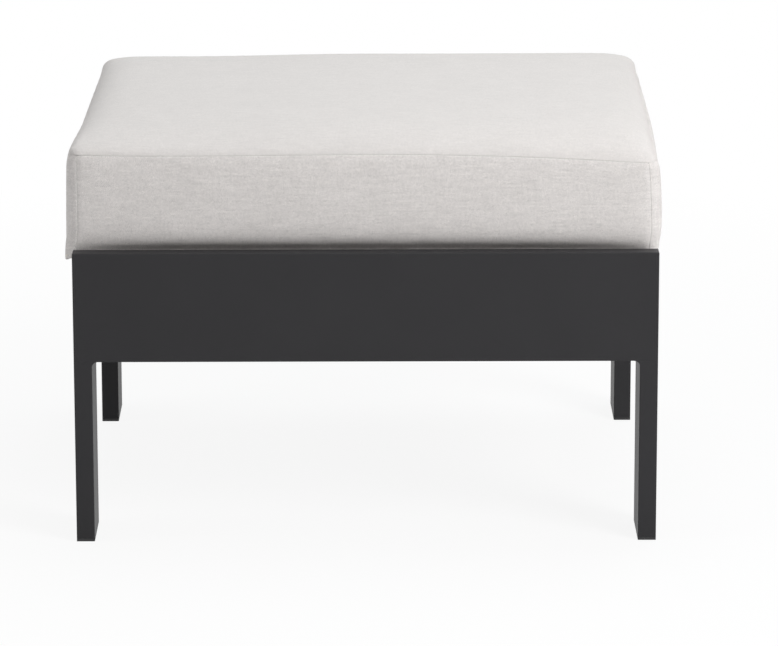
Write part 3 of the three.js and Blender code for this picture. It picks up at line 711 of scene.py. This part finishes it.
def panel_faces(start, flip):
    at = start + np.arange(GRID).reshape(COUNT_X + 1, COUNT_Y + 1)
    quads = np.stack([at[:-1, :-1], at[1:, :-1], at[1:, 1:], at[:-1, 1:]], -1).reshape(-1, 4)
    return quads[:, ::-1] if flip else quads


def station_panels():
    """Which boxing panel each stretch of the ring belongs to."""
    panels = np.full(RING, RIGHT)
    front_end = COUNT_X
    right_end = front_end + COUNT_Y
    rear_end = right_end + COUNT_X
    panels[:SEAM_LINE] = LEFT
    panels[SEAM_LINE:front_end - SEAM_LINE] = FRONT
    panels[right_end + SEAM_LINE:rear_end - SEAM_LINE] = REAR
    panels[rear_end - SEAM_LINE:] = LEFT
    return panels


def build_cover():
    """The whole cover as one closed grid: points, faces, the panel of each face, and the points
    in each row of the boxing from the base up."""
    top = np.dstack([panel_plan(1), crown_height()]).reshape(-1, 3)
    base = np.dstack([panel_plan(0), base_height()]).reshape(-1, 3)
    rows = []
    for row_share in ROW_SHARES[1:-1]:
        plan = ring_order([side_row(quarter, row_share) for quarter in range(4)])
        rows.append(np.column_stack([plan, row_height(row_share)]))
    points = np.concatenate([top, *rows, base])
    row_start = [GRID + RING * row for row in range(ROWS - 1)]
    base_start = GRID + RING * (ROWS - 1)
    rings = [base_start + RIM, *[start + np.arange(RING) for start in row_start], RIM]
    faces = [panel_faces(0, False)]
    panels = [np.full(len(faces[0]), TOP)]
    for lower, upper in zip(rings, rings[1:]):
        faces.append(np.stack([lower, np.roll(lower, -1), np.roll(upper, -1), upper], 1))
        panels.append(station_panels())
    faces.append(panel_faces(base_start, True))
    panels.append(np.full(len(faces[-1]), BASE))
    return points, np.concatenate(faces), np.concatenate(panels), rings


def settled(place):
    """The cover's points, moved as the filling has settled under the cloth."""
    x, y, z = place.T
    across = np.clip(x / HALF_W, -1, 1)
    along = np.clip(y / HALF_D, -1, 1)
    up = np.clip((z - BASE_Z) / (CROWN_TOP - BASE_Z), 0, 1)
    left = smooth_step(-across, *SIDE_RANGE)
    right = smooth_step(across, *SIDE_RANGE)
    high = smooth_step(up, *HIGH_RANGE)
    low = 1 - smooth_step(up, *LOW_RANGE)
    crown = smooth_step(up, *CROWN_RANGE)
    end = smooth_step(np.abs(along), *END_RANGE)
    near_front = (1 - along) / 2
    left_lean = LEFT_REAR_IN * (1 - near_front) - LEFT_FRONT_OUT * near_front
    right_lean = RIGHT_REAR_OUT * smooth_step(along, *RIGHT_LEAN_RANGE) - RIGHT_FRONT_IN * near_front
    top_lean = LEFT_FRONT_TOP_OUT * smooth_step(up, *TOP_SEAM_RANGE)
    belly = RIGHT_BULGE * (1 - (2 * up / BELLY_TOP - 1) ** 2)
    x = x + left * (left_lean - top_lean * smooth_step(-along, *TOP_LEAN_RANGE) - LEFT_BASE_OUT * low)
    x = x + right * (right_lean * high + belly - RIGHT_BASE_IN * low)
    dip = CROWN_DIP_LEFT * smooth_step(-across, *DIP_RANGE)
    sag = LEFT_SAG * smooth_step(-place[:, 0], *(HALF_W - edge for edge in SAG_EDGE))
    z = z - dip * crown - SWELL_ROOM * high - sag * smooth_step(-along, *SAG_RANGE) * low
    under = np.interp((place[:, 2] - BASE_Z) / MM, UNDER_ROLL_H_MM, UNDER_ROLL_IN_MM) * MM
    under = under * end * (1 - np.abs(across) ** UNDER_ROLL_CORNER_POWER)
    y = y - np.sign(along) * np.where(along < 0, 1, UNDER_ROLL_REAR_SHARE) * under
    return np.column_stack([x, y, z])


points, faces, panels, rings = build_cover()
points = settled(points)


def ring_distance():
    """Distance of each station from the front left corner, round the outline."""
    lengths = [LINES_X, LINES_Y, LINES_X, LINES_Y]
    starts = np.cumsum([0, *[lines[-1] for lines in lengths]])
    return np.concatenate([start + lines[:-1] for start, lines in zip(starts, lengths)])


def upright_seam_distance():
    """How far each station lies from the nearest of the four upright seams."""
    distance = ring_distance()
    total = 2 * (LINES_X[-1] + LINES_Y[-1])
    right_corner = LINES_X[-1]
    rear_corner = right_corner + LINES_Y[-1]
    left_corner = rear_corner + LINES_X[-1]
    off = SEAM_FROM_CORNER
    seams = [off, right_corner - off, rear_corner + off, left_corner - off]
    gaps = [np.abs((distance - seam + total / 2) % total - total / 2) for seam in seams]
    return np.min(gaps, axis=0)


def cloth_places():
    """Two tables of places on the cloth, for the flat panels and for the boxing. Each row is the
    way across, the way up, the way from the nearest seam, and the ways from the seams that limit
    each of the two."""
    across, along = np.meshgrid(LINES_X, LINES_Y, indexing="ij")
    from_x = np.minimum(across, LINES_X[-1] - across)
    from_y = np.minimum(along, LINES_Y[-1] - along)
    panel = np.dstack([across, along, np.minimum(from_x, from_y), from_x, from_y]).reshape(-1, 5)
    flat = np.zeros((len(points), 5))
    flat[:GRID] = panel
    flat[-GRID:] = panel
    boxing = np.zeros((len(points), 5))
    upright = upright_seam_distance()
    for row_share, ring in zip(ROW_SHARES, rings):
        up = np.full(RING, row_share * BOXING_H)
        level = np.minimum(up, BOXING_H - up)
        edge = np.minimum(level, upright)
        boxing[ring] = np.column_stack([ring_distance(), up, edge, upright, level])
    return flat, boxing


flat_places, boxing_places = cloth_places()


def hold_weights():
    """How firmly the simulation holds each point: the seams, the zip and the base that lies on the
    deck fully, the rest little."""
    is_boxing = boxing_places[:, 0] + boxing_places[:, 1] > 0
    edge = np.where(is_boxing, boxing_places[:, 2], flat_places[:, 2])
    loose = np.full(len(points), HOLD_FREE)
    loose[-GRID:] = HOLD_BASE
    weight = 1 + (loose - 1) * smooth_step(edge, 0, HOLD_FADE)
    near_zip = (points[:, 1] > HALF_D - CORNER_R) & (np.abs(points[:, 2] - ZIP_Z) < ZIP_HOLD)
    return np.where(near_zip, 1.0, weight)


def simulate(weights):
    """The cover's points after its filling has pressed it out, moved by no more than the cap."""
    mesh = bpy.data.meshes.new("cover_before")
    mesh.from_pydata([tuple(p) for p in points], [], [tuple(f) for f in faces])
    cover = bpy.data.objects.new("cover_before", mesh)
    scene = bpy.context.scene
    scene.collection.objects.link(cover)
    holds = cover.vertex_groups.new(name="holds")
    for index, weight in enumerate(weights):
        holds.add([index], float(weight), "REPLACE")
    cloth = cover.modifiers.new("cloth", "CLOTH")
    cloth.collision_settings.use_collision = False
    settings = cloth.settings
    settings.quality = SIM_QUALITY
    settings.use_pressure = True
    settings.uniform_pressure_force = FILL_PRESSURE
    settings.effector_weights.gravity = 0
    settings.vertex_group_mass = "holds"
    settings.pin_stiffness = HOLD_STIFFNESS
    settings.shrink_min = -COVER_EASE
    settings.bending_stiffness = COVER_BENDING
    for step in range(1, SIM_STEPS + 1):
        scene.frame_set(step)
    pressed = np.zeros(len(points) * 3, np.float32)
    evaluated = cover.evaluated_get(bpy.context.evaluated_depsgraph_get())
    evaluated.data.vertices.foreach_get("co", pressed)
    scene.frame_set(1)
    bpy.data.objects.remove(cover)
    bpy.data.meshes.remove(mesh)
    moved = pressed.reshape(-1, 3) - points
    length = np.linalg.norm(moved, axis=1, keepdims=True)
    return points + moved * np.minimum(1, SIM_CAP / np.maximum(length, 1e-9))


points = simulate(hold_weights())
outward = vertex_normals(points, faces)


def refined(own, weave):
    """One panel, subdivided once: (points, faces, places on the cloth, way out). An attribute has
    three columns, so a place's five take two, and the last column stays empty."""
    used, local = np.unique(own, return_inverse=True)
    mesh = bpy.data.meshes.new("panel_before")
    mesh.from_pydata([tuple(p) for p in points[used]], [], local.reshape(own.shape).tolist())
    limits = np.column_stack([weave[:, 3:], np.zeros(len(weave))])
    columns = {"weave": weave[:, :3], "outward": outward, "limits": limits}
    for name, values in columns.items():
        attribute = mesh.attributes.new(name, "FLOAT_VECTOR", "POINT")
        attribute.data.foreach_set("vector", values[used].astype(np.float32).ravel())
    panel = bpy.data.objects.new("panel_before", mesh)
    bpy.context.scene.collection.objects.link(panel)
    panel.modifiers.new("smooth", "SUBSURF").levels = 1
    fine = panel.evaluated_get(bpy.context.evaluated_depsgraph_get()).data
    co = np.zeros(len(fine.vertices) * 3, np.float32)
    fine.vertices.foreach_get("co", co)
    corners = np.zeros(len(fine.loops), np.int32)
    fine.loops.foreach_get("vertex_index", corners)
    read = {}
    for name in columns:
        values = np.zeros(len(fine.vertices) * 3, np.float32)
        fine.attributes[name].data.foreach_get("vector", values)
        read[name] = values.reshape(-1, 3).astype(float)
    cloth = np.column_stack([read["weave"], read["limits"][:, :2]])
    result = (co.reshape(-1, 3).astype(float), corners.reshape(-1, 4), cloth, read["outward"])
    bpy.data.objects.remove(panel)
    bpy.data.meshes.remove(mesh)
    return result


def without_slot(own):
    """The rear panel's faces, less those in the zip slot."""
    row_start = GRID + RING * (SLOT_ROW - 1)
    lower_ring = own[:, 0]
    in_row = (lower_ring >= row_start) & (lower_ring < row_start + RING)
    middle = points[own][:, :, 0].mean(1)
    return own[~(in_row & (np.abs(middle) < SLOT_HALF_L))]


def gathers(beside, from_seam, seed):
    """Small tucks that the thread leaves: they start at a seam and run away from it."""
    near = (from_seam / GATHER_AT) ** 2
    size = GATHER_DEPTH * near * np.exp(1 - near)
    waves = [noise.noise(Vector((a * GATHERS_PER_METRE, b * CREASES_PER_METRE, seed)))
             for a, b in zip(beside, from_seam)]
    return size * np.array(waves)


def seam_work(place, cloth, way_out, is_boxing):
    """A panel's points, drawn in at its seams, with the small gathers that the thread leaves."""
    across, up, edge, upright, level = cloth.T
    moved = gathers(up, upright, 1.0) + gathers(across, level, 5.0)
    full = SEAM_GROOVE * (GROOVE_FREE + (1 - GROOVE_FREE) * smooth_step(upright, 0, GROOVE_FADE))
    depth = np.where(is_boxing & (level > edge + 1e-6), UPRIGHT_GROOVE, full)
    moved -= np.exp(-(edge / SEAM_GROOVE_W) ** 2) * depth
    for (x, y, z), half_w, half_h, deep in TUCKS_MM:
        off = (place / MM - (x, y, z)) / (half_w, TUCK_REACH_MM, half_h)
        moved -= deep * MM * np.exp(-(off * off).sum(1))
    if is_boxing:
        fade = smooth_step(level, 0, UPRIGHT_ROLL_R)
        moved -= UPRIGHT_ROLL * fade * np.clip(1 - upright / UPRIGHT_ROLL_R, 0, 1) ** 2
    return place + way_out * moved[:, None]


def panel_piece(name, panel, node):
    """One sewn panel of the cover, as a shell with the cloth's thickness."""
    own = faces[panels == panel]
    if panel == REAR:
        own = without_slot(own)
    weave = flat_places if panel in (TOP, BASE) else boxing_places.copy()
    if panel == LEFT:
        ring_length = 2 * (LINES_X[-1] + LINES_Y[-1])
        weave[weave[:, 0] < ring_length / 4, 0] += ring_length
    place, quads, cloth, way_out = refined(own, weave)
    place = seam_work(place, cloth, way_out, panel not in (TOP, BASE))
    material = panel_fabric if panel in (TOP, BASE) else boxing_fabric
    piece = new_object(name, place, quads, material, "cushion", "cushion_fabric", cloth[:, :3])
    thick = piece.modifiers.new("thickness", "SOLIDIFY")
    thick.thickness = COVER_T
    thick.offset = -1
    thick.use_even_offset = True
    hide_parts(node)
    return piece


COVER_PANELS = (
    ("top_panel_cloth", TOP, "cushion_top_panel"),
    ("front_boxing_cloth", FRONT, "cushion_boxing"),
    ("right_boxing_cloth", RIGHT, "cushion_right_boxing"),
    ("left_boxing_cloth", LEFT, "cushion_left_boxing"),
    ("zip_panel_cloth", REAR, "cushion_zip_panel"),
    ("bottom_panel_cloth", BASE, "cushion_bottom_panel"),
)
cover_pieces = {node: panel_piece(name, panel, node) for name, panel, node in COVER_PANELS}


def make_foam():
    inner = points - outward * CORE_INSET
    piece = new_object("foam_core_soft", inner, faces, foam, "cushion", "foam")
    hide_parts("foam_core")


make_foam()


# Zip

def tooth_rings(x, side, low_y, high_y):
    """One moulded tooth. Its clamp is on the tape at its side, its head passes the chain's middle,
    and its crown is smaller than its foot, about the tooth's own middle."""
    outline = [*TOOTH_OUTLINE_MM, *((s, -t) for s, t in reversed(TOOTH_OUTLINE_MM))]
    rings_of_tooth = []
    for y, across_share, along_share in ((low_y, 1, 1), (high_y - TOOTH_BEVEL, 1, 1),
                                         (high_y, *TOOTH_CROWN_SHARES)):
        ring = []
        for s, t in outline:
            across = TOOTH_MIDDLE_MM + (s - TOOTH_MIDDLE_MM) * across_share
            ring.append((x + t * along_share * MM, y, ZIP_Z - side * across * MM))
        rings_of_tooth.append(ring if side > 0 else ring[::-1])
    return rings_of_tooth


def stop_rings(side, low_y, high_y, half_w, end_x):
    """The wider block at one end of the chain."""
    middle = side * (end_x - STOP_L / 2)
    rings_of_stop = []
    for y, inset in ((low_y, 0), (high_y - TOOTH_BEVEL, 0), (high_y, TOOTH_BEVEL)):
        half_l = STOP_L / 2 - inset
        reach = half_w - inset
        rings_of_stop.append([(middle + a * half_l, y, ZIP_Z + b * reach)
                              for a, b in ((-1, -1), (-1, 1), (1, 1), (1, -1))])
    return rings_of_stop


def make_chain():
    low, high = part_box("zip_chain")
    face_y = high.y - STOP_PROUD
    run = high.x - STOP_L
    count = int(2 * run / TOOTH_PITCH)
    teeth = []
    for index in range(2 * count):
        x = (index - count + 0.5) * TOOTH_PITCH / 2
        if abs(x) < run - TOOTH_PITCH / 2:
            teeth.append(tooth_rings(x, 1 if index % 2 else -1, low.y, face_y))
    stops = [stop_rings(side, low.y, high.y, high.z - ZIP_Z, high.x) for side in (-1, 1)]
    piece = new_object("zip_teeth", *stacked(teeth + stops), tooth_plastic, "cushion", "zip_chain")
    soften_edges(piece)
    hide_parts("zip_chain")


def tube_rings(path, radius, steps):
    """Rings round a path that runs mostly along X or Z."""
    rings_of_tube = []
    for index, place in enumerate(path):
        before = path[max(index - 1, 0)]
        after = path[min(index + 1, len(path) - 1)]
        turn = (after - before).to_track_quat("Z", "Y")
        angles = [2 * math.pi * step / steps for step in range(steps)]
        rings_of_tube.append([place + turn @ (radius * Vector((math.cos(angle), math.sin(angle), 0)))
                              for angle in angles])
    return rings_of_tube


def zip_panel_surface():
    """A function that gives the place and the way out of the rear panel at (x, z)."""
    mesh = cover_pieces["cushion_zip_panel"].data
    tree = BVHTree.FromPolygons([v.co for v in mesh.vertices], [p.vertices for p in mesh.polygons])

    def at(x, z):
        place, normal, _, _ = tree.ray_cast(Vector((x, HALF_D + 1, z)), Vector((0, -1, 0)))
        return place, normal if normal.y > 0 else -normal
    return at


def make_stitches():
    """Two rows of stitches along the zip, and a short row across each end of it."""
    surface = zip_panel_surface()
    half_h = SLOT_H / 2 + STITCH_OUT
    half_l = SLOT_HALF_L + STITCH_OUT
    middles = []
    for z in (ZIP_Z - half_h, ZIP_Z + half_h):
        count = int(2 * half_l / STITCH_PITCH)
        middles += [((index - (count - 1) / 2) * STITCH_PITCH, z, True) for index in range(count)]
    for x in (-half_l, half_l):
        middles += [(x, ZIP_Z + row * STITCH_PITCH, False) for row in (-1, 0, 1)]
    stitches = []
    for x, z, is_along in middles:
        path = []
        for share in STITCH_SHARES:
            step = share * STITCH_L / 2
            place, normal = surface(x + step * is_along, z + step * (not is_along))
            rise = THREAD_RISE - THREAD_DIVE * share ** THREAD_DIVE_POWER
            path.append(place + normal * THREAD_R * rise)
        stitches.append(tube_rings(path, THREAD_R, THREAD_SIDES))
    new_object("zip_stitches", *stacked(stitches), thread, "cushion", "cushion_fabric")


make_chain()
make_stitches()
for name in ("zip_slider", "zip_pull"):
    rounding = frame["nodes"][name].modifiers.new("rounding", "BEVEL")
    rounding.width = METAL_ROUNDING
    rounding.segments = 2
    rounding.limit_method = "ANGLE"
    rounding.angle_limit = METAL_ROUNDING_FROM


# Rivets

def make_rivet(node):
    low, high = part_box(node)
    x = (low.x + high.x) / 2
    y = (low.y + high.y) / 2
    seat = low.z + RIVET_HEAD_H
    grip = high.z - RIVET_TAIL_H
    profile = [(r * MM, seat + z * MM) for r, z in RIVET_HEAD_MM]
    profile += [(r * MM, grip + z * MM) for r, z in RIVET_TAIL_MM]
    angles = [2 * math.pi * step / ROUND_STEPS for step in range(ROUND_STEPS)]
    levels = []
    for r, z in profile:
        r = max(r, RIVET_AXIS_R)
        levels.append([(x + r * math.cos(a), y + r * math.sin(a), z) for a in angles])
    piece = new_object(node + "_domed", *stacked([levels]), rivet_metal, "frame", "rivet")
    soften_edges(piece)
    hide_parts(node)


for row in ("front", "rear"):
    for number in range(1, 9):
        make_rivet(f"{row}_rivet_{number}")


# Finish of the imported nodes

def finish_node(name, material):
    node = frame["nodes"][name]
    node.data.materials.clear()
    node.data.materials.append(material)


SLOT_MATERIALS = {
    "frame": coat,
    "glide": glide_plastic,
    "rivet": rivet_metal,
    "cushion_fabric": boxing_fabric,
    "foam": foam,
    "zip_tape": tape_fabric,
    "zip_chain": tooth_plastic,
    "zip_metal": zip_metal,
}
for part in frame["record"]["subparts"]:
    finish_node(part["node"], SLOT_MATERIALS[part["material_slot"]])


# Stage and light

def ray_strength(tree, seen, lit):
    """seen for what the camera, a reflection or glass looks at, lit for what falls on things."""
    path = add(tree, "ShaderNodeLightPath").outputs
    direct = calc(tree, "MAXIMUM", path["Is Camera Ray"], path["Is Glossy Ray"])
    any_seen = calc(tree, "MAXIMUM", direct, path["Is Transmission Ray"])
    return spread(tree, any_seen, lit, seen)


def make_world():
    world = bpy.data.worlds.new("studio")
    world.use_nodes = True
    tree = world.node_tree
    background = tree.nodes["Background"]
    background.inputs["Color"].default_value = (1, 1, 1, 1)
    tree.links.new(ray_strength(tree, 1.0, WORLD_LIT), background.inputs["Strength"])
    bpy.context.scene.world = world


def make_floor():
    """A pale floor that shows white but for the object's soft shadow, and can be seen through
    from below."""
    mesh = bpy.data.meshes.new("floor")
    corners = [(FLOOR_HALF * a, FLOOR_HALF * b, 0) for a, b in ((-1, -1), (1, -1), (1, 1), (-1, 1))]
    mesh.from_pydata(corners, [], [(0, 1, 2, 3)])
    floor = bpy.data.objects.new("floor", mesh)
    floor.location.z = -FLOOR_DROP
    bpy.context.scene.collection.objects.link(floor)
    material = bpy.data.materials.new("floor")
    material.use_nodes = True
    tree = material.node_tree
    tree.nodes.clear()
    grey = (FLOOR_GREY, FLOOR_GREY, FLOOR_GREY, 1)
    matt = add(tree, "ShaderNodeBsdfDiffuse", {"Color": grey}).outputs[0]
    white = add(tree, "ShaderNodeEmission", {"Color": (1, 1, 1, 1), "Strength": 1.0}).outputs[0]
    place = object_place(tree)
    away = add(tree, "ShaderNodeVectorMath", {0: place}, operation="LENGTH").outputs["Value"]
    white_share = spread(tree, away, *FLOOR_WHITE_SHARES, *FLOOR_WHITE_PLACES)
    share = calc(tree, "MULTIPLY", ray_strength(tree, 1.0, 0.0), white_share)
    pale = add(tree, "ShaderNodeMixShader", {0: share, 1: matt, 2: white}).outputs[0]
    clear = add(tree, "ShaderNodeBsdfTransparent").outputs[0]
    below = add(tree, "ShaderNodeNewGeometry").outputs["Backfacing"]
    shown = add(tree, "ShaderNodeMixShader", {0: below, 1: pale, 2: clear}).outputs[0]
    out = add(tree, "ShaderNodeOutputMaterial")
    tree.links.new(shown, out.inputs["Surface"])
    mesh.materials.append(material)


def area_light(name, place, target, size, power, colour):
    data = bpy.data.lights.new(name, "AREA")
    data.shape = "DISK"
    data.size = size
    data.energy = power
    data.color = colour
    light = bpy.data.objects.new(name, data)
    bpy.context.scene.collection.objects.link(light)
    light.location = place
    light.rotation_euler = (Vector(target) - Vector(place)).to_track_quat("-Z", "Y").to_euler()


make_world()
make_floor()
for lamp in LAMPS:
    area_light(*lamp)

bpy.context.scene.view_settings.view_transform = "Standard"
